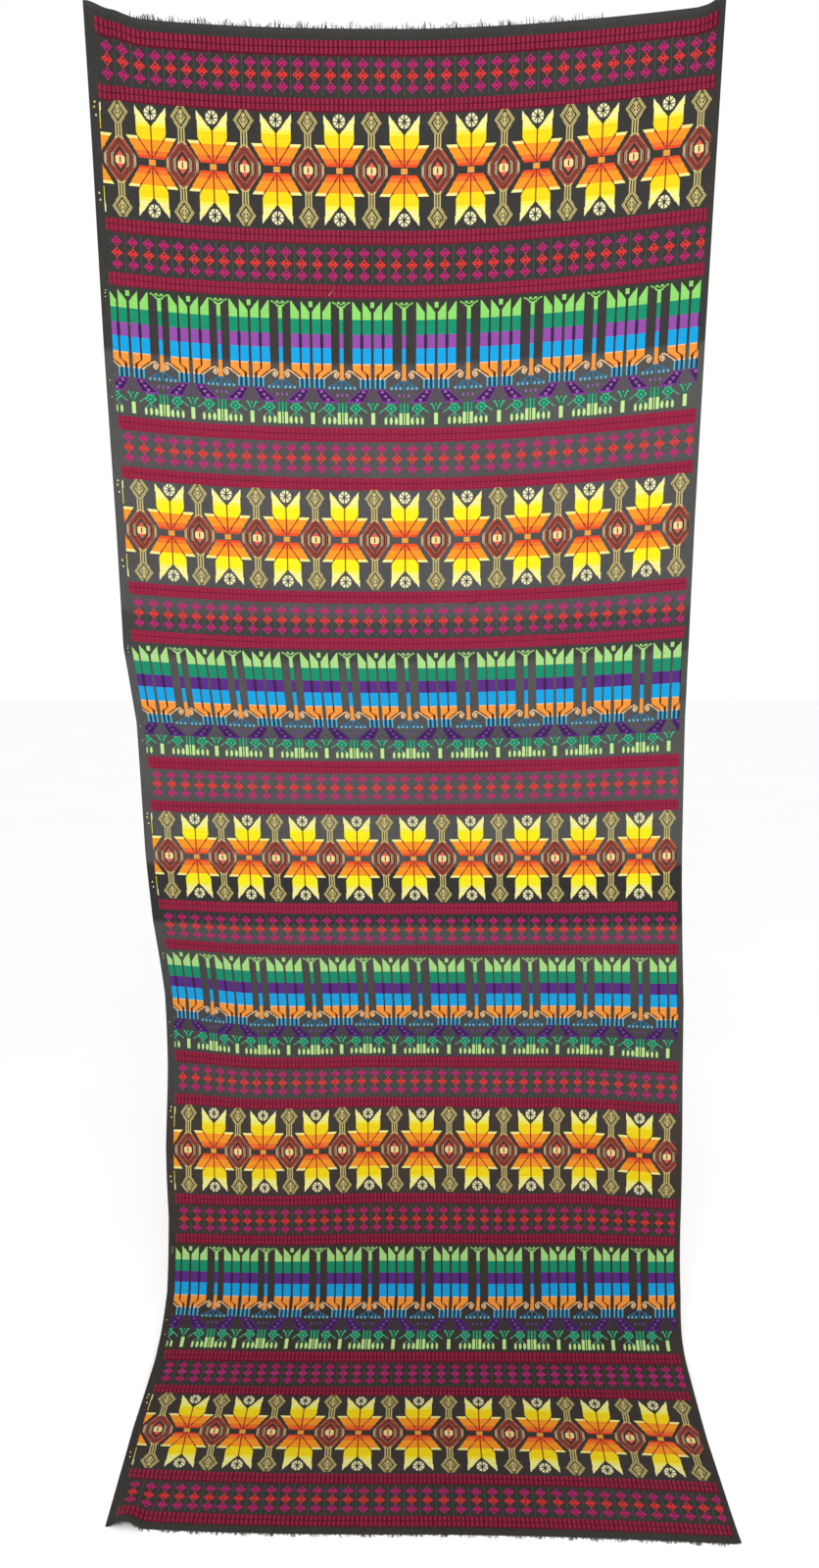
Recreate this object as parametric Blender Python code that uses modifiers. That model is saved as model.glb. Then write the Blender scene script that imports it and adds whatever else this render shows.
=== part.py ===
"""Corte wrap skirt: a hand-woven cotton cloth, hung open by its two top corners.

One panel of brocaded cotton hangs plumb, swings gently forward in its lower
third, and lies flat on the floor for its last stretch. The cut warp ends stand
out of both raw edges as short combs.

Metres, +Z up, the front of the cloth towards -Y. The origin is the middle of
the raw top edge, halfway through the cloth. A place on the cloth is given as
its share of the width, from -0.5 at the left selvedge to 0.5 at the right one,
and its distance along the cloth from the raw top edge.
"""
from bisect import bisect_right
from collections import namedtuple
import math

import bmesh
import bpy
from mathutils import Vector

OBJECT_NAME = "corte_wrap_skirt"

CLOTH_LENGTH = 2.466
CLOTH_THICKNESS = 0.0015
PIECE_GAP = 0.0003

# The hanging profile: how far the cloth leans forward from plumb, straight
# between the rows. The foot lies flat where the lean is 90 degrees.
Lean = namedtuple("Lean", "along degrees")
LEANS = (
    Lean(0.00, 0.5),
    Lean(0.25, 1.5),
    Lean(0.50, 0.5),
    Lean(0.75, 0.5),
    Lean(1.00, 1.0),
    Lean(1.25, 2.5),
    Lean(1.45, 4.5),
    Lean(1.60, 9.0),
    Lean(1.70, 12.5),
    Lean(1.80, 11.5),
    Lean(1.88, 10.5),
    Lean(1.95, 16.0),
    Lean(2.00, 22.0),
    Lean(2.04, 25.0),
    Lean(2.08, 38.0),
    Lean(2.11, 66.0),
    Lean(2.14, 86.0),
    Lean(2.24, 88.0),
    Lean(2.28, 90.0),
    Lean(2.55, 90.0),
)
PATH_STEP = 0.002
PATH_START = -0.08

# Where the two selvedges run, and how far the weft rows are drawn up at them.
Section = namedtuple("Section", "along left right lift_left lift_right")
SECTIONS = (
    Section(0.00, -0.4600, 0.4595, 0.020, 0.031),
    Section(0.18, -0.4600, 0.4595, 0.020, 0.033),
    Section(0.44, -0.4610, 0.4590, 0.022, 0.033),
    Section(0.70, -0.4600, 0.4605, 0.020, 0.026),
    Section(0.89, -0.4610, 0.4635, 0.015, 0.020),
    Section(1.01, -0.4470, 0.4650, 0.011, 0.016),
    Section(1.23, -0.4450, 0.4735, 0.007, 0.006),
    Section(1.35, -0.4420, 0.4795, 0.006, 0.004),
    Section(1.49, -0.4300, 0.4850, 0.006, 0.003),
    Section(1.62, -0.4275, 0.4850, 0.003, -0.002),
    Section(1.75, -0.4285, 0.4860, -0.002, -0.006),
    Section(1.88, -0.4240, 0.4880, 0.000, -0.002),
    Section(2.02, -0.4260, 0.4905, 0.005, 0.003),
    Section(2.11, -0.4355, 0.4880, 0.005, -0.004),
    Section(2.28, -0.4385, 0.4805, 0.009, -0.017),
    Section(2.47, -0.4335, 0.4790, 0.013, -0.016),
)
# The rows stay level over the middle and turn up towards the selvedges.
LIFT_POWER_LEFT = 2.6
LIFT_POWER_RIGHT = 1.7

# How many half sizes away a soft bell shape ends.
BELL_REACH = 1.0 / math.sqrt(1.0 - math.sqrt(0.5))

# The two held corners are drawn up into small peaks.
Peak = namedtuple("Peak", "share height half_width half_length")
PEAKS = (
    Peak(-0.5, 0.016, 0.045, 0.060),
    Peak(0.5, 0.012, 0.022, 0.060),
)

# Soft folds: their middle, half sizes (shares across, metres along) and how far
# they stand towards the front.
Fold = namedtuple("Fold", "name share along half_share half_length depth")
FOLDS = (
    Fold("left selvedge turned back", -0.50, 1.52, 0.100, 0.170, -0.030),
    Fold("right selvedge forward", 0.50, 1.68, 0.110, 0.220, 0.028),
    Fold("swell left of the middle", -0.29, 1.75, 0.120, 0.200, 0.014),
    Fold("top left pleat", -0.470, 0.02, 0.012, 0.090, -0.007),
    Fold("top right pleat", 0.480, 0.01, 0.010, 0.070, -0.008),
    Fold("ridge at the bottom left corner", -0.468, 2.49, 0.017, 0.070, 0.013),
    Fold("bottom right corner lifted", 0.510, 2.49, 0.012, 0.030, 0.007),
)

# The sheet's cells: rows close together where the cloth bends, and columns
# crowded towards the selvedges.
CLOTH_COLUMNS = 28
EDGE_CROWDING = 0.55
Stretch = namedtuple("Stretch", "start end rows")
CLOTH_ROWS = (
    Stretch(0.00, 0.12, 4),
    Stretch(0.12, 1.30, 15),
    Stretch(1.30, 1.94, 16),
    Stretch(1.94, 2.06, 5),
    Stretch(2.06, 2.16, 9),
    Stretch(2.16, 2.30, 5),
    Stretch(2.30, CLOTH_LENGTH, 7),
)

# The combs of cut warp ends. Each has a narrow header along the raw edge, and
# every other cell of it grows a tooth.
Comb = namedtuple("Comb", "name edge outward start end shortest longest")
COMBS = (
    Comb("top_fringe", 0.0, -1, -0.430, 0.310, 0.0040, 0.0080),
    Comb("bottom_fringe", CLOTH_LENGTH, 1, -0.485, 0.485, 0.0025, 0.0050),
)
COMB_TEETH = 38
COMB_HEADER = 0.0025
TOOTH_TURN = 2.4

Finish = namedtuple("Finish", "name colour roughness")
WOVEN_COTTON = Finish("woven_cotton", (0.075, 0.078, 0.076, 1.0), 0.90)
WARP_ENDS = Finish("warp_ends", (0.030, 0.031, 0.032, 1.0), 0.95)


def clear_scene():
    """Remove every object of the file that this script runs in."""
    for obj in list(bpy.data.objects):
        bpy.data.objects.remove(obj, do_unlink=True)


def between(rows, along, column):
    """Read a table's column at a place along the cloth, straight between rows."""
    places = [row.along for row in rows]
    index = min(max(bisect_right(places, along), 1), len(rows) - 1)
    before = rows[index - 1]
    after = rows[index]
    share = (along - before.along) / (after.along - before.along)
    share = min(max(share, 0.0), 1.0)
    start = getattr(before, column)
    return start + (getattr(after, column) - start) * share


def hanging_path():
    """Work out the hanging profile as a list of (forward, down) places."""
    steps = round((LEANS[-1].along - PATH_START) / PATH_STEP)
    path = [(0.0, 0.0)]
    for step in range(steps):
        along = PATH_START + (step + 0.5) * PATH_STEP
        lean = math.radians(between(LEANS, along, "degrees"))
        forward, down = path[-1]
        path.append((forward + math.sin(lean) * PATH_STEP, down + math.cos(lean) * PATH_STEP))
    origin = path[round(-PATH_START / PATH_STEP)]
    return [(forward - origin[0], down - origin[1]) for forward, down in path]


PATH = hanging_path()


def path_place(along):
    """Give the profile's forward and down places, between its steps."""
    position = (along - PATH_START) / PATH_STEP
    index = min(max(int(position), 0), len(PATH) - 2)
    share = position - index
    before, after = PATH[index], PATH[index + 1]
    forward = before[0] + (after[0] - before[0]) * share
    down = before[1] + (after[1] - before[1]) * share
    return forward, down


def bell(distance, half_size):
    """Fall smoothly from 1, through a half at the half size, to nothing."""
    away = distance / (half_size * BELL_REACH)
    return max(1.0 - away * away, 0.0) ** 2


def row_lift(share, along):
    """How far the weft row through this place is drawn up there."""
    if share < 0.0:
        lift = between(SECTIONS, along, "lift_left") * (-2.0 * share) ** LIFT_POWER_LEFT
    else:
        lift = between(SECTIONS, along, "lift_right") * (2.0 * share) ** LIFT_POWER_RIGHT
    width = between(SECTIONS, along, "right") - between(SECTIONS, along, "left")
    for peak in PEAKS:
        across = bell((share - peak.share) * width, peak.half_width)
        lift += peak.height * across * bell(max(along, 0.0), peak.half_length)
    return lift


def drape(share, along):
    """Place a point of the flat cloth where it hangs or lies."""
    lifted = along - row_lift(share, along)
    forward, down = path_place(lifted)
    left = between(SECTIONS, along, "left")
    right = between(SECTIONS, along, "right")
    place = Vector((left + (right - left) * (share + 0.5), -forward, -down))
    lean = math.radians(between(LEANS, lifted, "degrees"))
    front = Vector((0.0, -math.cos(lean), math.sin(lean)))
    for fold in FOLDS:
        across = bell(share - fold.share, fold.half_share)
        depth = fold.depth * across * bell(along - fold.along, fold.half_length)
        place += front * depth
    return place


def crowded_share(place):
    """Turn a place from -1 to 1 into a share of the width, crowded at the ends."""
    even = (1.0 - EDGE_CROWDING) * place
    return 0.5 * (even + EDGE_CROWDING * math.sin(0.5 * math.pi * place))


def drape_on_chord(share, along):
    """Place a point straight between the sheet's columns, as its own cells run."""
    columns = [crowded_share(2.0 * index / CLOTH_COLUMNS - 1.0) for index in range(CLOTH_COLUMNS + 1)]
    index = min(max(bisect_right(columns, share), 1), CLOTH_COLUMNS)
    left, right = columns[index - 1], columns[index]
    return drape(left, along).lerp(drape(right, along), (share - left) / (right - left))


def make_material(finish):
    """Make a plain cloth material."""
    material = bpy.data.materials.new(finish.name)
    material.use_nodes = True
    shader = material.node_tree.nodes["Principled BSDF"]
    shader.inputs["Base Color"].default_value = finish.colour
    shader.inputs["Roughness"].default_value = finish.roughness
    shader.inputs["Metallic"].default_value = 0.0
    material.diffuse_color = finish.colour
    return material


def add_sheet(name, mesh, finish, collection):
    """Drape a flat bmesh, whose vertices hold share and along, and thicken it."""
    for vertex in mesh.verts:
        vertex.co = drape_on_chord(vertex.co.x, vertex.co.y)
    data = bpy.data.meshes.new(name)
    mesh.to_mesh(data)
    mesh.free()
    data.materials.append(make_material(finish))
    data.shade_smooth()
    sheet = bpy.data.objects.new(name, data)
    collection.objects.link(sheet)
    solidify = sheet.modifiers.new("thickness", "SOLIDIFY")
    solidify.thickness = CLOTH_THICKNESS
    solidify.offset = 0.0
    solidify.use_even_offset = True
    return sheet


def row_places(stretches):
    """List the distances along the cloth of the sheet's rows, top to bottom."""
    places = [stretches[0].start]
    for stretch in stretches:
        step = (stretch.end - stretch.start) / stretch.rows
        places.extend(stretch.start + step * (row + 1) for row in range(stretch.rows))
    return places


def flat_grid(columns, rows):
    """Make a grid of columns by rows cells, from -1 to 1 each way."""
    mesh = bmesh.new()
    bmesh.ops.create_grid(mesh, x_segments=columns, y_segments=rows, size=1.0)
    return mesh


def add_cloth(collection):
    """Make the woven panel, selvedge to selvedge and raw edge to raw edge."""
    places = row_places(CLOTH_ROWS)
    rows = len(places) - 1
    mesh = flat_grid(CLOTH_COLUMNS, rows)
    for vertex in mesh.verts:
        row = round((1.0 - vertex.co.y) * 0.5 * rows)
        vertex.co = Vector((crowded_share(vertex.co.x), places[row], 0.0))
    return add_sheet("cloth", mesh, WOVEN_COTTON, collection)


def add_comb(comb, collection):
    """Make one comb of cut warp ends along a raw edge."""
    columns = 2 * COMB_TEETH + 1
    mesh = flat_grid(columns, 1)
    inner = comb.edge + comb.outward * PIECE_GAP
    outer = inner + comb.outward * COMB_HEADER
    for vertex in mesh.verts:
        share = comb.start + (comb.end - comb.start) * (vertex.co.x + 1.0) * 0.5
        at_top = vertex.co.y > 0.0
        is_outer = at_top == (comb.outward < 0)
        vertex.co = Vector((share, outer if is_outer else inner, 0.0))
    mesh.edges.ensure_lookup_table()
    outer_edges = [e for e in mesh.edges if all(abs(v.co.y - outer) < PIECE_GAP for v in e.verts)]
    outer_edges.sort(key=lambda edge: min(vertex.co.x for vertex in edge.verts))
    for index, edge in enumerate(outer_edges[::2]):
        tooth = bmesh.ops.extrude_edge_only(mesh, edges=[edge])
        swing = 0.5 + 0.5 * math.sin(TOOTH_TURN * index)
        length = comb.shortest + (comb.longest - comb.shortest) * swing
        for part in tooth["geom"]:
            if isinstance(part, bmesh.types.BMVert):
                part.co.y += comb.outward * length
    bmesh.ops.recalc_face_normals(mesh, faces=mesh.faces)
    return add_sheet(comb.name, mesh, WARP_ENDS, collection)


def main():
    """Build the skirt's panel and its two combs."""
    clear_scene()
    collection = bpy.data.collections.new(OBJECT_NAME)
    bpy.context.scene.collection.children.link(collection)
    add_cloth(collection)
    for comb in COMBS:
        add_comb(comb, collection)


main()
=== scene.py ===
"""Corte wrap skirt: the looks of a hand-woven cloth hung open by its top corners.

Metres, +Z up, the front of the cloth towards -Y. A piece is first made flat, as
the cloth lies on the weaver's table: x across from the middle, y up from the raw
top edge (so y is minus the distance along the cloth) and z out of its front. The
Drape then hangs it, so that the brocade always follows the cloth under it.
"""

from dataclasses import dataclass, field
from enum import IntEnum
import logging
import math

import bmesh
import bpy
import numpy as np
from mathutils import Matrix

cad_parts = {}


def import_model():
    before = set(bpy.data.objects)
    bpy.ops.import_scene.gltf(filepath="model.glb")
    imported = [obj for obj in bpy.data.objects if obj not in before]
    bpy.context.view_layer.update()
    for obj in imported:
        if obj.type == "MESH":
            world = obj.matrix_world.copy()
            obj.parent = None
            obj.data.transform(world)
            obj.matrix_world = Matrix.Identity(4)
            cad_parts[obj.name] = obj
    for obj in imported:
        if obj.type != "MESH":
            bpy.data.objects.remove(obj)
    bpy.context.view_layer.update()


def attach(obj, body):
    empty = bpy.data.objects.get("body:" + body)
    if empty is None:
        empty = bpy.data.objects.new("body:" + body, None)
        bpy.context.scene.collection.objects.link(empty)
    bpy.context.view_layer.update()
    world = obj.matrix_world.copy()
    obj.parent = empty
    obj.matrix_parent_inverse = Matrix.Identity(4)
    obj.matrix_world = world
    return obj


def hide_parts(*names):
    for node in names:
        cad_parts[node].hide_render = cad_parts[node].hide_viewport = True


LOG = logging.getLogger("corte")

Colour = tuple[int, int, int]
Point = tuple[float, float]
Spot = tuple[float, float, float]
Material = bpy.types.Material
Mesh = bpy.types.Mesh
Piece = bpy.types.Object
Socket = bpy.types.NodeSocket

CLOTH_LENGTH = 2.466
CLOTH_WIDTH = 0.918
CLOTH_THICKNESS = 0.0012
FLOAT_LIFT = 0.0003
PLACE_MAP = "cloth_place"
BAKE_MAP = "OFBake"
YARN_COLOUR = "yarn_colour"
# How much of a dye's full lightness the yarn gives back under the studio lights.
DYE_DEPTH = 0.80

# Where the stars stand across the cloth, and where their rows lie along it.
STAR_COLUMNS = (-0.3714, -0.2820, -0.1887, -0.0959, -0.0005, 0.0976, 0.1940, 0.2901, 0.3848)
STAR_STEP = 0.0945
# The stars with the cut one at the left selvedge, and the places midway between them.
STAR_PLACES = (STAR_COLUMNS[0] - STAR_STEP, *STAR_COLUMNS)
MIDWAY_PLACES = (
    STAR_COLUMNS[0] - STAR_STEP / 2,
    *((left + right) / 2 for left, right in zip(STAR_COLUMNS, STAR_COLUMNS[1:])),
    STAR_COLUMNS[-1] + STAR_STEP / 2,
)
FIRST_STAR_ROW = 0.1827
REPEAT = 0.5249
ROWS = 5
ZONE_LEFT = -0.445
ZONE_RIGHT = 0.449
# The burgundy stripes over and under a star row: start and end, from the row's middle.
UPPER_STRIPES = ((-0.1691, -0.1493), (-0.0958, -0.0767))
LOWER_STRIPES = ((0.0780, 0.0975), (0.1525, 0.1715))
UPPER_DIAMONDS = (-0.1378, -0.1232, -0.1079)
LOWER_DIAMONDS = (0.1108, 0.1260, 0.1417)
# Where the rainbow starts, from the star row over it, and the first stripe, from the raw edge.
RAINBOW_START = 0.1775
FIRST_STRIPE = 0.0137
# The charts' cell and row, in millimetres.
CELL = 0.984
ROW = 1.3


def linear(colour: Colour) -> tuple[float, float, float]:
    """Turn a colour of 0 to 255 into linear light.

    Args:
        colour: red, green and blue as a screen shows them.

    Returns:
        The three linear values.
    """
    shares = [part / 255.0 for part in colour]
    return tuple(s / 12.92 if s <= 0.04045 else ((s + 0.055) / 1.055) ** 2.4 for s in shares)


@dataclass(frozen=True)
class Drape:
    """How the flat cloth hangs and lies: the part's own drape, with a few soft creases more."""

    leans: tuple[Point, ...] = (
        (0.0, 0.5), (0.25, 1.5), (0.5, 0.5), (0.75, 0.5), (1.0, 1.0), (1.25, 2.5), (1.45, 4.5),
        (1.6, 9.0), (1.7, 12.5), (1.8, 11.5), (1.88, 10.5), (1.95, 16.0), (2.0, 22.0), (2.04, 25.0),
        (2.08, 38.0), (2.11, 66.0), (2.14, 86.0), (2.24, 88.0), (2.28, 90.0), (2.55, 90.0),
    )
    # Along, left edge, right edge, left lift, right lift.
    sections: tuple[tuple[float, ...], ...] = (
        (0.0, -0.46, 0.4595, 0.02, 0.031), (0.18, -0.46, 0.4595, 0.02, 0.033),
        (0.44, -0.461, 0.459, 0.022, 0.033), (0.7, -0.46, 0.4605, 0.02, 0.026),
        (0.89, -0.461, 0.4635, 0.015, 0.02), (1.01, -0.447, 0.465, 0.011, 0.016),
        (1.23, -0.445, 0.4735, 0.007, 0.006), (1.35, -0.442, 0.4795, 0.006, 0.004),
        (1.49, -0.43, 0.485, 0.006, 0.003), (1.62, -0.4275, 0.485, 0.003, -0.002),
        (1.75, -0.4285, 0.486, -0.002, -0.006), (1.88, -0.424, 0.488, 0.0, -0.002),
        (2.02, -0.426, 0.4905, 0.005, 0.003), (2.11, -0.4355, 0.488, 0.005, -0.004),
        (2.28, -0.4385, 0.4805, 0.009, -0.017), (2.47, -0.4335, 0.479, 0.013, -0.016),
    )
    # Share of the width, height, half width, half length.
    peaks: tuple[tuple[float, ...], ...] = ((-0.5, 0.016, 0.045, 0.06), (0.5, 0.012, 0.022, 0.06))
    # Share, along, half share, half length, depth towards the front.
    folds: tuple[tuple[float, ...], ...] = (
        (-0.5, 1.52, 0.1, 0.17, -0.03), (0.5, 1.68, 0.11, 0.22, 0.028), (-0.29, 1.75, 0.12, 0.2, 0.014),
        (-0.47, 0.02, 0.012, 0.09, -0.007), (0.48, 0.01, 0.01, 0.07, -0.008),
        (-0.468, 2.49, 0.017, 0.07, 0.013), (0.51, 2.49, 0.012, 0.03, 0.007),
        (0.002, 0.62, 0.020, 0.5, -0.0016), (0.004, 1.42, 0.022, 0.3, -0.0022),
        (0.0, 0.93, 0.5, 0.020, -0.0012), (-0.2, 0.34, 0.08, 0.16, 0.002),
        (0.24, 0.52, 0.07, 0.2, 0.0025), (0.1, 1.12, 0.06, 0.16, -0.002), (0.3, 1.3, 0.05, 0.25, 0.003),
        (-0.12, 1.62, 0.05, 0.2, -0.003), (0.16, 1.8, 0.06, 0.2, 0.004),
    )
    # How sharply the two side edges curl up.
    left_curl: float = 2.6
    right_curl: float = 1.7
    # The profile's step and its start over the raw edge, and the reach of a slope's two samples.
    step: float = 0.002
    start: float = -0.08
    reach: float = 0.002

    def path(self) -> tuple[np.ndarray, np.ndarray, np.ndarray]:
        """Work out the hanging profile.

        Returns:
            Distances along the cloth, and the forward and down places there.
        """
        count = round((self.leans[-1][0] - self.start) / self.step)
        along = self.start + np.arange(count + 1) * self.step
        lean = self.lean(along[:-1] + self.step / 2)
        forward = np.concatenate(([0.0], np.cumsum(np.sin(lean) * self.step)))
        down = np.concatenate(([0.0], np.cumsum(np.cos(lean) * self.step)))
        zero = round(-self.start / self.step)
        return along, forward - forward[zero], down - down[zero]

    def lean(self, along: np.ndarray) -> np.ndarray:
        """Give the lean from plumb, in radians."""
        table = np.array(self.leans)
        return np.radians(np.interp(along, table[:, 0], table[:, 1]))

    @staticmethod
    def bell(distance: np.ndarray, half: float) -> np.ndarray:
        """Fall smoothly from 1, through a half at the half size, to nothing."""
        away = distance * math.sqrt(1.0 - math.sqrt(0.5)) / half
        return np.maximum(1.0 - away * away, 0.0) ** 2

    def place(self, share: np.ndarray, along: np.ndarray) -> np.ndarray:
        """Hang points of the cloth.

        Args:
            share: places across, from -0.5 to 0.5 of the width.
            along: distances from the raw top edge.

        Returns:
            One row of x, y and z for each point.
        """
        table = np.array(self.sections)
        left, right, lift_left, lift_right = (
            np.interp(along, table[:, 0], table[:, column]) for column in range(1, 5)
        )
        away = np.abs(2.0 * share)
        lift = np.where(share < 0.0, lift_left * away ** self.left_curl, lift_right * away ** self.right_curl)
        for middle, height, half_width, half_length in self.peaks:
            across = self.bell((share - middle) * (right - left), half_width)
            lift += height * across * self.bell(np.maximum(along, 0.0), half_length)
        lifted = along - lift
        places, forward, down = self.path()
        spot = np.stack((
            left + (right - left) * (share + 0.5),
            -np.interp(lifted, places, forward),
            -np.interp(lifted, places, down),
        ), axis=1)
        lean = self.lean(lifted)
        depth = np.zeros_like(share)
        for middle, row, half_share, half_length, fold in self.folds:
            depth += fold * self.bell(share - middle, half_share) * self.bell(along - row, half_length)
        spot[:, 1] -= np.cos(lean) * depth
        spot[:, 2] += np.sin(lean) * depth
        return spot

    def hang(self, flat: np.ndarray) -> np.ndarray:
        """Hang flat points, with their height over the cloth.

        Args:
            flat: rows of x across, y up and z out of the front of the flat cloth.

        Returns:
            The same points where they hang or lie.
        """
        share = flat[:, 0] / CLOTH_WIDTH
        along = -flat[:, 1]
        here = self.place(share, along)
        across = self.place(share + self.reach, along) - self.place(share - self.reach, along)
        downwards = self.place(share, along + self.reach) - self.place(share, along - self.reach)
        front = np.cross(downwards, across)
        front /= -np.linalg.norm(front, axis=1, keepdims=True)
        front *= np.where(np.sum(front * self.front(along), axis=1, keepdims=True) < 0.0, -1.0, 1.0)
        return here + front * flat[:, 2:3]

    def front(self, along: np.ndarray) -> np.ndarray:
        """Give the plain front direction at places along the cloth."""
        lean = self.lean(along)
        return np.stack((np.zeros_like(lean), -np.cos(lean), np.sin(lean)), axis=1)


DRAPE = Drape()


class Nodes:
    """A small helper that adds and joins the nodes of one material."""

    # Where a Mix node keeps its share and its two colours, and the mixed colour.
    COLOUR_MIX_INPUTS = (0, 6, 7)
    COLOUR_MIX_OUTPUT = 2

    def __init__(self, name: str) -> None:
        """Start a material with its shader.

        Args:
            name: the material's name.
        """
        self.material = bpy.data.materials.new(name)
        self.material.use_nodes = True
        self.tree = self.material.node_tree
        self.shader = self.tree.nodes["Principled BSDF"]

    def add(self, kind: str, **values: object) -> bpy.types.Node:
        """Add a node.

        Args:
            kind: the node's type.
            **values: its own properties.

        Returns:
            The node.
        """
        node = self.tree.nodes.new(kind)
        for name, value in values.items():
            setattr(node, name, value)
        return node

    def feed(self, target: Socket, source: object) -> None:
        """Join a socket to another one, or set its value.

        Args:
            target: the socket that is fed.
            source: another socket, or a plain value.
        """
        if isinstance(source, Socket):
            self.tree.links.new(source, target)
        else:
            target.default_value = source

    def math(self, operation: str, first: object, second: object = 0.0) -> Socket:
        """Work out a sum of one or two numbers.

        Args:
            operation: the kind of sum.
            first: the first number.
            second: the second number.

        Returns:
            The result.
        """
        node = self.add("ShaderNodeMath", operation=operation)
        self.feed(node.inputs[0], first)
        self.feed(node.inputs[1], second)
        return node.outputs[0]

    def mix(self, share: object, first: object, second: object, blend: str = "MIX") -> Socket:
        """Mix two colours.

        Args:
            share: how much of the second colour there is.
            first: the first colour.
            second: the second colour.
            blend: the way in which they mix.

        Returns:
            The mixed colour.
        """
        node = self.add("ShaderNodeMix", data_type="RGBA", blend_type=blend)
        for index, source in zip(self.COLOUR_MIX_INPUTS, (share, first, second)):
            self.feed(node.inputs[index], source)
        return node.outputs[self.COLOUR_MIX_OUTPUT]

    def ramp(self, value: object, stops: list[tuple[float, Colour]], smooth: bool = True) -> Socket:
        """Read a colour from a row of stops.

        Args:
            value: the place on the ramp, from 0 to 1.
            stops: places and their colours, as a screen shows them.
            smooth: whether the colours run into each other.

        Returns:
            The colour there.
        """
        node = self.add("ShaderNodeValToRGB")
        node.color_ramp.interpolation = "LINEAR" if smooth else "CONSTANT"
        elements = node.color_ramp.elements
        elements.remove(elements[1])
        for index, (place, colour) in enumerate(stops):
            element = elements[0] if index == 0 else elements.new(place)
            element.position = place
            element.color = self.solid(colour)
        self.feed(node.inputs[0], value)
        return node.outputs[0]

    @staticmethod
    def solid(colour: Colour) -> tuple[float, float, float, float]:
        """Turn a screen colour into a socket's value."""
        return (*linear(colour), 1.0)

    def shade(self, colour: object, value: object, low: float, high: float, darkest: Colour) -> Socket:
        """Darken a colour where a value is low.

        Args:
            colour: the colour.
            value: what decides how dark it gets.
            low: the value at which it is darkest.
            high: the value from which it is left as it is.
            darkest: what it is multiplied by where it is darkest.

        Returns:
            The shaded colour.
        """
        stops = [(low, darkest), (high, (255, 255, 255))]
        return self.mix(1.0, colour, self.ramp(value, stops), "MULTIPLY")

    def axes(self) -> tuple[Socket, Socket]:
        """Split the cloth place.

        Returns:
            The place across and the place up, in metres.
        """
        parts = self.add("ShaderNodeSeparateXYZ")
        self.feed(parts.inputs[0], self.add("ShaderNodeUVMap", uv_map=PLACE_MAP).outputs[0])
        return parts.outputs[0], parts.outputs[1]

    def cycle(self, up: Socket) -> Socket:
        """Tell how far through the repeat a row is, a star row being halfway.

        Args:
            up: the place up the cloth.

        Returns:
            A share from 0 to 1.
        """
        share = self.math("MULTIPLY", self.math("ADD", up, FIRST_STAR_ROW - REPEAT / 2), -1.0 / REPEAT)
        return self.math("FRACT", self.math("ADD", share, 8.0))

    def zone(self, across: Socket) -> Socket:
        """Tell whether a place lies between the plain selvedges.

        Args:
            across: the place across the cloth.

        Returns:
            1 in the brocaded zone, 0 outside it.
        """
        past_left = self.math("GREATER_THAN", across, ZONE_LEFT + 0.004)
        return self.math("MULTIPLY", past_left, self.math("LESS_THAN", across, ZONE_RIGHT + 0.002))

    def place(self, across: float, along: float) -> Socket:
        """Scale the cloth place.

        Args:
            across: the scale across.
            along: the scale along.

        Returns:
            The scaled place.
        """
        source = self.add("ShaderNodeUVMap", uv_map=PLACE_MAP)
        node = self.add("ShaderNodeMapping")
        self.feed(node.inputs["Vector"], source.outputs[0])
        node.inputs["Scale"].default_value = (across, along, 1.0)
        return node.outputs[0]

    def noise(self, place: object, scale: float, detail: float = 2.0) -> Socket:
        """Read a soft noise.

        Args:
            place: where it is read.
            scale: how fine it is.
            detail: how many finer layers it has.

        Returns:
            The noise, from 0 to 1.
        """
        node = self.add("ShaderNodeTexNoise")
        self.feed(node.inputs["Vector"], place)
        node.inputs["Scale"].default_value = scale
        node.inputs["Detail"].default_value = detail
        return node.outputs[0]

    def span(self, value: object, low: float, high: float, to_low: float, to_high: float) -> Socket:
        """Stretch a value from one span to another.

        Args:
            value: the value.
            low: the start of its span.
            high: the end of its span.
            to_low: the start of the new span.
            to_high: the end of the new span.

        Returns:
            The stretched value.
        """
        node = self.add("ShaderNodeMapRange")
        for index, part in enumerate((value, low, high, to_low, to_high)):
            self.feed(node.inputs[index], part)
        return node.outputs[0]

    def surface(self, colour: object, rough: object, sheen: float = 0.0, specular: float = 0.5) -> None:
        """Give the shader its colour and its shine.

        Args:
            colour: its base colour.
            rough: its roughness.
            sheen: how much sheen it has.
            specular: how strongly it reflects.
        """
        values = {"Base Color": colour, "Roughness": rough, "Sheen Weight": sheen,
                  "Specular IOR Level": specular}
        for name, value in values.items():
            self.feed(self.shader.inputs[name], value)

    def bump(self, height: object, strength: float, distance: float) -> None:
        """Give the shader its relief.

        Args:
            height: the relief's height.
            strength: how much of it shows.
            distance: how tall it is, in metres.
        """
        node = self.add("ShaderNodeBump")
        node.inputs["Strength"].default_value = strength
        node.inputs["Distance"].default_value = distance
        self.feed(node.inputs["Height"], height)
        self.feed(self.shader.inputs["Normal"], node.outputs[0])


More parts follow.
